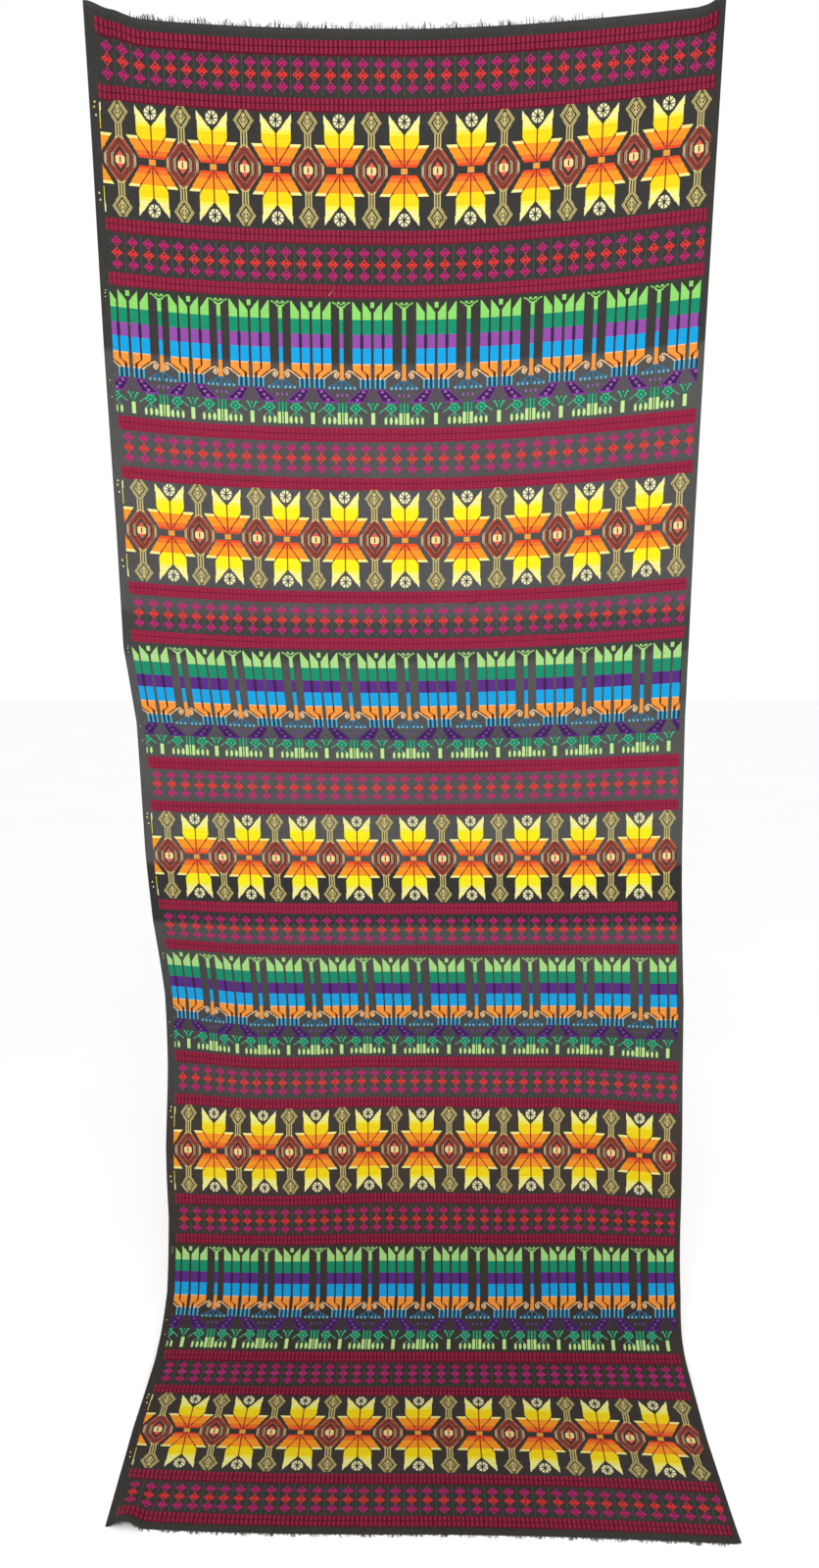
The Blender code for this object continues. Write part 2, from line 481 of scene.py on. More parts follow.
@dataclass(frozen=True)
class GroundFinish:
    """Plain woven cotton: charcoal weft that changes by the batch, and burgundy stripes with painted shade
    towards the top and the bottom.
    """

    name: str = "woven_cotton_ground"
    roughness: float = 0.88
    # Distance along in metres and the colour there, of the weft and then of the stripes; the stripes' colour
    # holds painted shade, darker towards the top and the bottom where the lights fall off.
    tones: tuple[tuple[float, Colour], ...] = (
        (0.0, (70, 69, 68)), (0.010, (58, 57, 54)), (0.16, (58, 57, 54)), (0.447, (60, 59, 56)),
        (0.449, (84, 83, 82)), (0.80, (84, 83, 82)), (0.828, (84, 83, 82)), (0.830, (66, 66, 64)),
        (0.902, (66, 66, 65)), (0.904, (84, 84, 82)), (1.243, (84, 84, 82)), (1.245, (52, 51, 50)),
        (1.355, (52, 51, 50)), (1.357, (80, 79, 77)), (1.55, (74, 73, 70)), (1.683, (70, 69, 66)),
        (1.685, (68, 60, 54)), (2.10, (60, 54, 49)), (2.466, (60, 57, 54)),
    )
    # Painted shade: the stripes' burgundy runs darker towards the top and the bottom, where the lights fall
    # off.
    shaded_reds: tuple[tuple[float, Colour], ...] = (
        (0.0, (96, 14, 38)), (0.25, (118, 20, 46)), (0.55, (150, 28, 62)), (0.95, (150, 28, 62)),
        (1.22, (142, 28, 58)), (1.45, (134, 26, 54)), (1.70, (112, 20, 44)), (2.466, (100, 16, 40)),
    )
    stripes: tuple[Point, ...] = UPPER_STRIPES + LOWER_STRIPES

    def build(self) -> Material:
        """Build the material of the cloth's front.

        Returns:
            The material.
        """
        n = Nodes(self.name)
        across, up = n.axes()
        along = n.math("MULTIPLY", up, -1.0 / CLOTH_LENGTH)
        wander = n.noise(n.place(1.0, 1.0), 9.0)
        along = n.math("ADD", along, n.span(wander, 0.0, 1.0, -0.0006, 0.0006))
        tone = n.ramp(along, [(a / CLOTH_LENGTH, c) for a, c in self.tones])
        # The stripes' colour, with its painted shade towards the top and the bottom.
        shaded_red = n.ramp(along, [(a / CLOTH_LENGTH, c) for a, c in self.shaded_reds])
        stops: list[tuple[float, Colour]] = [(0.0, (0, 0, 0))]
        for start, end in self.stripes:
            stops.append((start / REPEAT + 0.5, (255, 255, 255)))
            stops.append((end / REPEAT + 0.5, (0, 0, 0)))
        stripe = n.ramp(n.cycle(up), stops, smooth=False)
        colour = n.mix(n.math("MULTIPLY", stripe, n.zone(across)), tone, shaded_red)
        weft = n.noise(n.place(60.0, 1500.0), 1.0, 3.0)
        warp = n.noise(n.place(1300.0, 45.0), 1.0, 3.0)
        grain = n.math("ADD", weft, warp)
        colour = n.shade(colour, n.span(grain, 0.6, 1.4, 0.0, 1.0), 0.0, 1.0, (196, 196, 198))
        cloud = n.noise(n.place(1.0, 1.0), 5.0, 3.0)
        colour = n.shade(colour, cloud, 0.3, 0.7, (232, 232, 232))
        rough = n.span(grain, 0.6, 1.4, self.roughness + 0.06, self.roughness - 0.08)
        n.surface(colour, rough, sheen=0.02, specular=0.10)
        n.bump(grain, 0.55, 0.0006)
        return n.material


@dataclass(frozen=True)
class ReverseFinish:
    """The back of the cloth, where the brocade weft runs loose between the motifs."""

    name: str = "woven_cotton_reverse"
    # Share of the repeat and the weft that shows there.
    rows: tuple[tuple[float, Colour], ...] = (
        (0.0, (188, 108, 44)), (0.044, (18, 104, 140)), (0.070, (84, 40, 116)), (0.110, (10, 100, 78)),
        (0.137, (140, 184, 104)), (0.170, (60, 60, 58)), (0.178, (104, 24, 48)),
        (0.216, (60, 60, 58)), (0.236, (150, 24, 92)),
        (0.262, (190, 52, 56)), (0.288, (150, 24, 92)), (0.315, (60, 60, 58)), (0.318, (104, 24, 48)),
        (0.354, (60, 60, 58)), (0.362, (196, 176, 60)), (0.43, (200, 110, 40)), (0.475, (176, 60, 36)),
        (0.525, (200, 110, 40)), (0.57, (196, 176, 60)), (0.639, (60, 60, 58)), (0.649, (104, 24, 48)),
        (0.686, (60, 60, 58)), (0.709, (150, 24, 92)), (0.735, (190, 52, 56)), (0.761, (150, 24, 92)),
        (0.788, (60, 60, 58)), (0.79, (104, 24, 48)), (0.827, (60, 60, 58)), (0.838, (110, 170, 90)),
        (0.885, (16, 118, 90)), (0.924, (96, 44, 128)), (0.963, (12, 110, 176)),
    )

    def build(self) -> Material:
        """Build the material of the cloth's back.

        Returns:
            The material.
        """
        n = Nodes(self.name)
        across, up = n.axes()
        yarn = n.ramp(n.cycle(up), list(self.rows), smooth=False)
        streak = n.noise(n.place(26.0, 620.0), 1.0, 4.0)
        column = n.math("SINE", n.math("MULTIPLY", across, 4.0 * math.pi / STAR_STEP))
        cover = n.math("ADD", n.math("MULTIPLY", column, 0.10), streak)
        cover = n.span(cover, 0.44, 0.60, 0.0, 1.0)
        inside = n.math("MULTIPLY", n.zone(across), n.math("LESS_THAN", up, -FIRST_STRIPE))
        ground = n.mix(n.noise(n.place(900.0, 900.0), 1.0), n.solid((56, 55, 53)), n.solid((76, 75, 72)))
        colour = n.mix(n.math("MULTIPLY", cover, inside), ground, yarn)
        n.surface(colour, n.span(streak, 0.3, 0.7, 0.9, 0.74), sheen=0.02)
        n.bump(streak, 0.6, 0.0008)
        return n.material


@dataclass(frozen=True)
class YarnFinish:
    """Brocade weft: soft dyed yarn in floats tied down by the warp."""

    name: str
    row_pitch: float = 0.0013
    tie_pitch: float = 0.0059
    roughness: float = 0.66

    def build(self) -> Material:
        """Build the material, which takes each float's dye from its own attribute.

        Returns:
            The material.
        """
        n = Nodes(self.name)
        dye = n.add("ShaderNodeAttribute", attribute_name=YARN_COLOUR).outputs[0]
        across, up = n.axes()
        row = n.math("SINE", n.math("MULTIPLY", up, 2.0 * math.pi / self.row_pitch))
        twist = n.noise(n.place(420.0, 1500.0), 1.0, 3.0)
        slub = n.noise(n.place(18.0, 520.0), 1.0, 2.0)
        tie = n.math("ADD", n.math("MULTIPLY", across, 2.0 * math.pi / self.tie_pitch),
                     n.math("MULTIPLY", up, math.pi / self.row_pitch))
        tie = n.math("SINE", tie)
        tie = n.span(tie, 0.80, 1.0, 0.0, 1.0)
        shade = n.math("ADD", n.math("MULTIPLY", twist, 0.5), n.math("MULTIPLY", slub, 0.5))
        colour = n.shade(dye, n.span(shade, 0.3, 0.7, 0.0, 1.0), 0.0, 1.0, (226, 224, 220))
        colour = n.mix(n.math("MULTIPLY", tie, 0.16), colour, (0.02, 0.015, 0.012, 1.0))
        rough = n.span(twist, 0.3, 0.7, self.roughness + 0.1, self.roughness - 0.1)
        n.surface(colour, rough, sheen=0.02, specular=0.12)
        relief = n.math("ADD", n.math("MULTIPLY", row, 0.35), n.math("SUBTRACT", twist, tie))
        n.bump(relief, 0.4, 0.0004)
        return n.material


@dataclass(frozen=True)
class WarpFinish:
    """Cut cotton warp ends: near black, dusty and paler along their fibres."""

    name: str = "warp_ends_cotton"
    dark: Colour = (30, 30, 32)
    pale: Colour = (112, 110, 110)

    def build(self) -> Material:
        """Build the material on object coordinates.

        Returns:
            The material.
        """
        n = Nodes(self.name)
        spot = n.add("ShaderNodeTexCoord").outputs["Object"]
        fibre = n.noise(spot, 900.0, 4.0)
        clump = n.noise(spot, 45.0, 2.0)
        colour = n.mix(n.span(clump, 0.35, 0.72, 0.0, 0.85), n.solid(self.dark), n.solid(self.pale))
        colour = n.mix(n.math("MULTIPLY", fibre, 0.4), colour, n.solid((18, 18, 19)))
        n.surface(colour, n.span(fibre, 0.3, 0.7, 0.96, 0.84), sheen=0.2)
        n.bump(fibre, 0.5, 0.0004)
        return n.material


class Chart:
    """A small weaving chart: cells of yarn numbers around one motif's middle.

    Places on it are in millimetres: x from the middle, y down the cloth. The
    motif is the same on both sides of its middle, so x is never negative.
    """

    def __init__(self, half_width: float, top: float, bottom: float, level_mirror: bool = False) -> None:
        """Rule an empty chart.

        Args:
            half_width: how far it reaches to each side.
            top: its first row's place.
            bottom: its last row's place.
            level_mirror: whether the rows above the middle repeat those below.
        """
        columns = round(half_width / CELL)
        rows = round((bottom - top) / ROW)
        self.left = -columns * CELL
        self.top = top
        x = np.abs((np.arange(-columns, columns) + 0.5) * CELL)
        y = top + (np.arange(rows) + 0.5) * ROW
        self.x, self.y = np.meshgrid(x, np.abs(y) if level_mirror else y)
        self.cells = np.zeros(self.x.shape, np.int8)

    def fill(self, inside: np.ndarray, yarn: int) -> None:
        """Weave one yarn wherever the test is true."""
        self.cells[inside] = yarn

    def polygon(self, corners: list[Point]) -> np.ndarray:
        """Tell which cells lie inside a closed outline.

        Args:
            corners: the outline's corners.

        Returns:
            True for each cell inside.
        """
        inside = np.zeros(self.x.shape, bool)
        for (x0, y0), (x1, y1) in zip(corners, corners[1:] + corners[:1]):
            if y0 == y1:
                continue
            crosses = (self.y < y0) != (self.y < y1)
            inside ^= crosses & (self.x < x0 + (self.y - y0) * (x1 - x0) / (y1 - y0))
        return inside

    def stroke(self, points: list[Point], width: float) -> np.ndarray:
        """Tell which cells lie along a line of some width.

        Args:
            points: the line's points.
            width: its width.

        Returns:
            True for each cell on the line.
        """
        near = np.zeros(self.x.shape, bool)
        for (x0, y0), (x1, y1) in zip(points, points[1:]):
            length = max((x1 - x0) ** 2 + (y1 - y0) ** 2, 1e-9)
            share = np.clip(((self.x - x0) * (x1 - x0) + (self.y - y0) * (y1 - y0)) / length, 0.0, 1.0)
            gap = np.hypot(self.x - x0 - share * (x1 - x0), self.y - y0 - share * (y1 - y0))
            near |= gap <= width / 2.0
        return near

    def box(self, x0: float, x1: float, y0: float, y1: float) -> np.ndarray:
        """Tell which cells lie in an upright box."""
        return (self.x >= x0) & (self.x < x1) & (self.y >= y0) & (self.y < y1)

    def oval(self, x: float, y: float, across: float, along: float) -> np.ndarray:
        """Tell which cells lie in an oval."""
        return ((self.x - x) / across) ** 2 + ((self.y - y) / along) ** 2 <= 1.0


class Band:
    """One woven band's canvas, on which the charts are stamped and then woven."""

    def __init__(self, top: float, bottom: float, cell: float = CELL, row: float = ROW) -> None:
        """Lay out an empty canvas over the whole width.

        Args:
            top: where its first row lies along the cloth, in metres.
            bottom: where it ends.
            cell: the width of a cell in millimetres.
            row: the height of a row in millimetres.
        """
        self.cell = cell / 1000.0
        self.row = row / 1000.0
        self.top = top
        self.columns = round(CLOTH_WIDTH / self.cell)
        self.cells = np.zeros((round((bottom - top) / self.row), self.columns), np.int8)

    def stamp(self, chart: Chart, x: float, y: float) -> None:
        """Weave a chart into the band.

        Args:
            chart: the chart.
            x: where its middle lies across the cloth, in metres.
            y: where its zero lies along the cloth, in metres.
        """
        first = round((x + CLOTH_WIDTH / 2) / self.cell + chart.left / CELL)
        start = round((y + chart.top / 1000.0 - self.top) / self.row)
        rows, columns = chart.cells.shape
        low, high = max(first, 0), min(first + columns, self.columns)
        upper, lower = max(start, 0), min(start + rows, self.cells.shape[0])
        if low >= high or upper >= lower:
            return
        patch = chart.cells[upper - start:lower - start, low - first:high - first]
        view = self.cells[upper:lower, low:high]
        view[patch != 0] = patch[patch != 0]

    def repeat(self, chart: Chart, places: tuple[float, ...], y: float) -> None:
        """Weave a chart at several places across the cloth.

        Args:
            chart: the chart.
            places: where its middles lie, in metres.
            y: where its zero lies along the cloth, in metres.
        """
        for x in places:
            self.stamp(chart, x, y)

    def trim(self) -> None:
        """Leave the selvedges plain."""
        x = (np.arange(self.columns) + 0.5) * self.cell - CLOTH_WIDTH / 2
        self.cells[:, (x < ZONE_LEFT) | (x > ZONE_RIGHT)] = 0

    def floats(self, longest: int = 14, tallest: int = 4) -> np.ndarray:
        """Find the floats: stretches of one yarn, joined with the same stretch of the next rows.

        Args:
            longest: the most cells of one float.
            tallest: the most rows that are joined.

        Returns:
            Rows of the first and last row, the first and last column, and the yarn.
        """
        padded = np.pad(self.cells, ((0, 0), (1, 1)))
        row, column = np.nonzero(padded[:, 1:] != padded[:, :-1])
        yarn = padded[row, column + 1]
        end = np.append(column[1:], 0)
        keep = yarn != 0
        row, column, end, yarn = row[keep], column[keep], end[keep], yarn[keep]
        parts = -(-(end - column) // longest)
        index = np.repeat(np.arange(len(row)), parts)
        part = np.arange(len(index)) - np.repeat(np.cumsum(parts) - parts, parts)
        length = (end - column)[index]
        first = column[index] + (part * length) // parts[index]
        last = column[index] + ((part + 1) * length) // parts[index]
        row, yarn = row[index], yarn[index]
        order = np.lexsort((row, last, first, yarn))
        row, first, last, yarn = row[order], first[order], last[order], yarn[order]
        fresh = np.ones(len(row), bool)
        fresh[1:] = (np.diff(first) != 0) | (np.diff(last) != 0) | (np.diff(yarn) != 0) | (np.diff(row) != 1)
        start = np.maximum.accumulate(np.where(fresh, np.arange(len(row)), 0))
        fresh |= (np.arange(len(row)) - start) % tallest == 0
        heads = np.nonzero(fresh)[0]
        tails = np.append(heads[1:], len(row)) - 1
        return np.stack((row[heads], row[tails] + 1, first[heads], last[heads], yarn[heads]), axis=1)


@dataclass(frozen=True)
class Palette:
    """The dyes of one band, by yarn number."""

    dyes: dict[int, Colour]

    def table(self) -> np.ndarray:
        """List the dyes by yarn number.

        Returns:
            One row of linear colour for each yarn number.
        """
        rows = np.zeros((max(self.dyes) + 1, 4))
        rows[:, 3] = 1.0
        for number, colour in self.dyes.items():
            rows[number, :3] = np.array(linear(colour)) * DYE_DEPTH
        return rows


class Workshop:
    """Makes meshes from flat points, hangs them and enters them in the frame."""

    # Room left round a bake strip, in metres of cloth: at each end, and over and under it.
    END_MARGIN = 0.015
    ROW_MARGIN = 0.002

    def __init__(self) -> None:
        """Start with an empty list of pieces."""
        self.collection = bpy.context.scene.collection
        self.pieces: list[Piece] = []

    def enter(self, name: str, mesh: Mesh, finish: Material, node: str) -> Piece:
        """Link a finished mesh, put it on the root body and hide the CAD node that it stands for.

        Args:
            name: the piece's name.
            mesh: its finished mesh.
            finish: its material.
            node: the CAD node that it stands for.

        Returns:
            The new object.
        """
        mesh.materials.append(finish)
        piece = bpy.data.objects.new(name, mesh)
        self.collection.objects.link(piece)
        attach(piece, "root")
        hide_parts(node)
        self.pieces.append(piece)
        LOG.info("%s: %d faces", name, len(mesh.polygons))
        return piece

    @staticmethod
    def hang(mesh: Mesh) -> None:
        """Move a flat mesh to where the cloth hangs.

        Args:
            mesh: the flat mesh.
        """
        flat = np.zeros(len(mesh.vertices) * 3)
        mesh.vertices.foreach_get("co", flat)
        mesh.vertices.foreach_set("co", DRAPE.hang(flat.reshape(-1, 3)).ravel())
        mesh.update()

    @staticmethod
    def corner_places(mesh: Mesh) -> np.ndarray:
        """List where every corner of every face lies.

        Args:
            mesh: the mesh.

        Returns:
            One row of x, y and z for each corner.
        """
        places = np.zeros(len(mesh.vertices) * 3)
        mesh.vertices.foreach_get("co", places)
        corners = np.zeros(len(mesh.loops), int)
        mesh.loops.foreach_get("vertex_index", corners)
        return places.reshape(-1, 3)[corners]

    @staticmethod
    def put_map(mesh: Mesh, name: str, places: np.ndarray) -> None:
        """Give the mesh a UV map with one place for each corner."""
        layer = mesh.uv_layers.new(name=name)
        layer.uv.foreach_set("vector", places.astype(np.float32).ravel())

    def weave(self, name: str, band: Band, palette: Palette, finish: Material, strips: int,
              longest: int = 14, tallest: int = 4) -> Piece:
        """Turn a band's canvas into joined floats that lie on the cloth.

        Args:
            name: the piece's name.
            band: the woven canvas.
            palette: the dyes of its yarns.
            finish: the yarn's material.
            strips: how many strips its bake map is cut into.
            longest: the most cells of one float.
            tallest: the most rows that are joined in one face.

        Returns:
            The new piece.
        """
        runs = band.floats(longest, tallest)
        x0 = runs[:, 2] * band.cell - CLOTH_WIDTH / 2
        x1 = runs[:, 3] * band.cell - CLOTH_WIDTH / 2
        y0 = -(band.top + runs[:, 0] * band.row)
        y1 = -(band.top + runs[:, 1] * band.row)
        height = np.full(len(runs), CLOTH_THICKNESS / 2 + FLOAT_LIFT)
        corners = np.stack((np.stack((x0, y1, height), 1), np.stack((x1, y1, height), 1),
                            np.stack((x1, y0, height), 1), np.stack((x0, y0, height), 1)), axis=1)
        flat = corners.reshape(-1, 3)
        mesh = bpy.data.meshes.new(name)
        mesh.vertices.add(len(flat))
        mesh.vertices.foreach_set("co", flat.ravel())
        mesh.loops.add(len(flat))
        mesh.loops.foreach_set("vertex_index", np.arange(len(flat)))
        mesh.polygons.add(len(runs))
        mesh.polygons.foreach_set("loop_start", np.arange(len(runs)) * 4)
        mesh.update(calc_edges=True)
        self.put_map(mesh, PLACE_MAP, flat[:, :2])
        width = CLOTH_WIDTH / strips
        middle = np.repeat((x0 + x1) / 2 + CLOTH_WIDTH / 2, 4)
        strip = np.minimum(middle // width, strips - 1)
        tall = band.cells.shape[0] * band.row + 2 * self.ROW_MARGIN
        size = max(width + 2 * self.END_MARGIN, strips * tall)
        u = (flat[:, 0] + CLOTH_WIDTH / 2 - strip * width + self.END_MARGIN) / size
        v = (strip * tall + self.ROW_MARGIN - (flat[:, 1] + band.top)) / size
        self.put_map(mesh, BAKE_MAP, np.stack((u, 1.0 - v), 1))
        dye = mesh.color_attributes.new(YARN_COLOUR, "FLOAT_COLOR", "CORNER")
        colours = np.repeat(palette.table()[runs[:, 4]], 4, axis=0)
        dye.data.foreach_set("color", colours.astype(np.float32).ravel())
        self.hang(mesh)
        return self.enter(name, mesh, finish, "cloth")


@dataclass
class Panel:
    """The ground cloth: one closed sheet, selvedge to selvedge."""

    columns: int = 128
    edge_crowding: float = 0.55
    # Start, end and rows of each stretch along the cloth.
    stretches: tuple[tuple[float, float, int], ...] = (
        (0.0, 0.1, 16), (0.1, 1.9, 214), (1.9, 2.05, 24), (2.05, 2.17, 34), (2.17, 2.30, 16),
        (2.30, CLOTH_LENGTH, 20),
    )

    def build(self, shop: Workshop) -> Piece:
        """Make the sheet flat, thicken it, hang it and dress it.

        Args:
            shop: where the piece is made.

        Returns:
            The ground cloth.
        """
        places = [0.0]
        for start, end, rows in self.stretches:
            places.extend(start + (end - start) * (row + 1) / rows for row in range(rows))
        rows = len(places) - 1
        flat = bmesh.new()
        bmesh.ops.create_grid(flat, x_segments=self.columns, y_segments=rows, size=1.0)
        for vertex in flat.verts:
            row = round((1.0 - vertex.co.y) * 0.5 * rows)
            crowded = self.edge_crowding * (math.sin(math.pi / 2 * vertex.co.x) - vertex.co.x)
            vertex.co = ((vertex.co.x + crowded) * CLOTH_WIDTH / 2, -places[row], CLOTH_THICKNESS / 2)
        bmesh.ops.solidify(flat, geom=flat.faces[:], thickness=CLOTH_THICKNESS)
        for vertex in flat.verts:
            vertex.co.z = CLOTH_THICKNESS / 2 if vertex.co.z > CLOTH_THICKNESS / 4 else -CLOTH_THICKNESS / 2
        bmesh.ops.recalc_face_normals(flat, faces=flat.faces)
        mesh = bpy.data.meshes.new("ground_cloth")
        flat.to_mesh(mesh)
        flat.free()
        self.lay_maps(mesh)
        shop.hang(mesh)
        mesh.shade_smooth()
        piece = shop.enter("ground_cloth", mesh, GroundFinish().build(), "cloth")
        mesh.materials.append(ReverseFinish().build())
        return piece

    @staticmethod
    def lay_maps(mesh: Mesh) -> None:
        """Give the sheet its two maps and its back's material, while it is flat.

        The bake map holds the front's two halves side by side, and the back and the
        rim small beside them.

        Args:
            mesh: the flat closed sheet.
        """
        corner = Workshop.corner_places(mesh)
        normals = np.array([face.normal.z for face in mesh.polygons])
        middles = np.array([face.center.y for face in mesh.polygons])
        sizes = np.array([face.loop_total for face in mesh.polygons])
        mesh.polygons.foreach_set("material_index", (normals < -0.5).astype(int))
        facing = np.repeat(normals, sizes)
        lower = np.repeat(middles < -CLOTH_LENGTH / 2, sizes)
        Workshop.put_map(mesh, PLACE_MAP, corner[:, :2])
        x = corner[:, 0] + CLOTH_WIDTH / 2
        y = -corner[:, 1]
        margin, between = 0.005, 0.015
        size = 2 * (CLOTH_WIDTH + between)
        front_u = (x + margin + lower * (CLOTH_WIDTH + between)) / size
        front_v = 1.0 - (y - lower * CLOTH_LENGTH / 2 + margin) / size
        back_share, rim_scale, rim_left, rim_foot = 0.295, 0.05, 0.84, 0.01
        scale = back_share / CLOTH_WIDTH
        back_u = margin + y * scale
        back_v = margin + x * scale
        rim_u = rim_left + y * rim_scale
        rim_v = rim_foot + x * rim_scale
        back = facing < -0.5
        rim = np.abs(facing) <= 0.5
        u = np.where(rim, rim_u, np.where(back, back_u, front_u))
        v = np.where(rim, rim_v, np.where(back, back_v, front_v))
        Workshop.put_map(mesh, BAKE_MAP, np.stack((u, v), 1))


class Yarn(IntEnum):
    """The yarns of the star band."""

    CREAM = 1
    PALE = 2
    YELLOW = 3
    AMBER = 4
    ORANGE = 5
    VERMILION = 6
    RED_LINE = 7
    SQUARE = 8
    KHAKI = 9
    BEIGE = 10
    BRICK = 11
    BROWN = 12
    EYE_RED = 13
    EYE_CREAM = 14
    LEMON = 15


@dataclass(frozen=True)
class StarBand:
    """Eight-pointed stars and nested lozenges, on one row of the cloth."""

    # Half the band's height, in metres.
    half_height: float = 0.078
    # The middles of the rosette and of the small diamond, in millimetres from the row's middle.
    rosette_height: float = 64.8
    small_diamond_height: float = 62.6

    def star(self) -> Chart:
        """Chart one star with the rosettes between its tips.

        Returns:
            The chart.
        """
        c = Chart(38.4, -75.4, 75.4, level_mirror=True)
        wing = c.polygon([(1.1, 4.8), (18.2, 4.8), (36.7, 34.2), (21.0, 34.2), (1.1, 6.4)])
        petal = c.polygon([(0.9, 6.0), (21.0, 34.5), (22.7, 73.5), (0.9, 47.3)])
        body = wing | petal
        zones = ((0.0, 9.5, Yarn.VERMILION), (9.5, 16.0, Yarn.ORANGE), (16.0, 29.6, Yarn.AMBER),
                 (29.6, 47.0, Yarn.YELLOW), (47.0, 52.0, Yarn.LEMON), (52.0, 66.0, Yarn.PALE),
                 (66.0, 80.0, Yarn.CREAM))
        for start, end, yarn in zones:
            c.fill(body & (c.y >= start) & (c.y < end), yarn)
        c.fill(wing & ~petal & (c.y >= 29.6), Yarn.PALE)
        c.fill(c.stroke([(2.4, 8.0), (21.0, 34.6)], 1.7), Yarn.RED_LINE)
        c.fill(c.box(0.0, 1.0, 6.8, 47.3), Yarn.RED_LINE)
        c.fill(c.box(0.0, 5.0, 0.0, 4.4), Yarn.SQUARE)
        dx, dy = c.x, c.y - self.rosette_height
        reach = np.hypot(dx, dy)
        gaps = np.minimum(np.minimum(np.abs(dx), np.abs(dy)), np.abs(np.abs(dx) - np.abs(dy)) * 0.7071)
        c.fill((reach < 8.9) & (reach > 1.6) & (gaps > 0.75), Yarn.CREAM)
        return c

    def lozenge(self) -> Chart:
        """Chart one lozenge with its stems and the two small diamonds.

        Returns:
            The chart.
        """
        c = Chart(24.6, -78.0, 78.0, level_mirror=True)
        ring = c.x + np.maximum(c.y - 5.5, 0.0) * 0.745
        khaki = c.y > 27.0
        near = c.y < 9.0
        c.fill((ring < 19.3) & (ring > 8.0), Yarn.BROWN)
        # Each line's inner and outer edge, and whether its yarn changes along it.
        lines = ((22.0, 23.6, True), (19.6, 21.3, True), (12.4, 14.0, True), (10.2, 11.4, True),
                 (16.9, 18.2, False))
        for inner, outer, changes in lines:
            line = (ring >= inner) & (ring < outer) & (c.y < 31.5)
            c.fill(line, Yarn.BRICK)
            if changes:
                c.fill(line & near, Yarn.BEIGE)
                c.fill(line & khaki, Yarn.KHAKI)
        eye = (c.x / 6.4 + np.maximum(c.y - 4.0, 0.0) / 9.0) < 1.0
        c.fill(eye, Yarn.EYE_RED)
        c.fill(eye & (c.y < 5.0), Yarn.EYE_CREAM)
        c.fill(c.box(0.0, 1.3, 0.0, 4.0), Yarn.BROWN)
        c.fill(c.box(3.1, 4.6, 30.5, 50.0) | c.box(0.0, 0.9, 30.5, 49.0), Yarn.KHAKI)
        off_middle = np.abs(c.y - self.small_diamond_height)
        small = c.x + off_middle * 0.708
        inside = off_middle < 13.9
        c.fill(inside & (small < 15.0), 0)
        c.fill(inside & (small >= 12.9) & (small < 14.6), Yarn.KHAKI)
        c.fill(inside & (small >= 10.2) & (small < 11.9), Yarn.KHAKI)
        weave = (np.floor(c.x / 1.968 + 0.5) + np.floor(c.y / 2.6)) % 2 == 0
        c.fill((small < 7.4), Yarn.KHAKI)
        c.fill((small < 6.4) & weave & (c.x > 0.9), 0)
        return c

    def build(self, shop: Workshop, index: int, finish: Material) -> Piece:
        """Weave one star band.

        Args:
            shop: where the piece is made.
            index: which star row it is, from the top.
            finish: the yarn's material.

        Returns:
            The band's floats.
        """
        middle = FIRST_STAR_ROW + REPEAT * index
        band = Band(middle - self.half_height, middle + self.half_height)
        band.repeat(self.star(), STAR_PLACES, middle)
        band.repeat(self.lozenge(), MIDWAY_PLACES, middle)
        band.trim()
        # Rows in which a yarn's turn shows in the left selvedge.
        turns = ((4, Yarn.PALE), (9, Yarn.YELLOW), (17, Yarn.CREAM), (96, Yarn.PALE), (103, Yarn.CREAM))
        for number, yarn in turns:
            band.cells[number:number + 2, 6 + number % 3:8 + number % 3] = yarn
        warm = index in (0, 3, 4)
        dyes = {
            Yarn.CREAM: (250, 246, 196), Yarn.PALE: (252, 246, 150), Yarn.LEMON: (252, 244, 84),
            Yarn.YELLOW: (255, 226, 16) if warm else (255, 246, 20), Yarn.AMBER: (255, 158, 34),
            Yarn.ORANGE: (248, 122, 44), Yarn.VERMILION: (244, 82, 36), Yarn.RED_LINE: (150, 30, 22),
            Yarn.SQUARE: (246, 164, 66), Yarn.KHAKI: (210, 194, 124), Yarn.BEIGE: (196, 168, 128),
            Yarn.BRICK: (192, 96, 74), Yarn.BROWN: (84, 38, 34), Yarn.EYE_RED: (238, 96, 76),
            Yarn.EYE_CREAM: (252, 224, 152),
        }
        return shop.weave(f"star_band_{index + 1}", band, Palette(dyes), finish, 2)


class Leaf(IntEnum):
    """The yarns of the rainbow band."""

    LIGHT_GREEN = 1
    GREEN = 2
    PURPLE = 3
    BLUE = 4
    ORANGE = 5
    ORANGE_EDGE = 6
    STEM_BLUE = 7
    STEM_PALE = 8
    COMB = 9
    COMB_PALE = 10
    TEAL = 11
    TEAL_PALE = 12
    PENDANT = 13
    SHADOW_BROWN = 14
    SHADOW_PURPLE = 15
    PALE_GREEN = 16
    STEM_DARK = 17


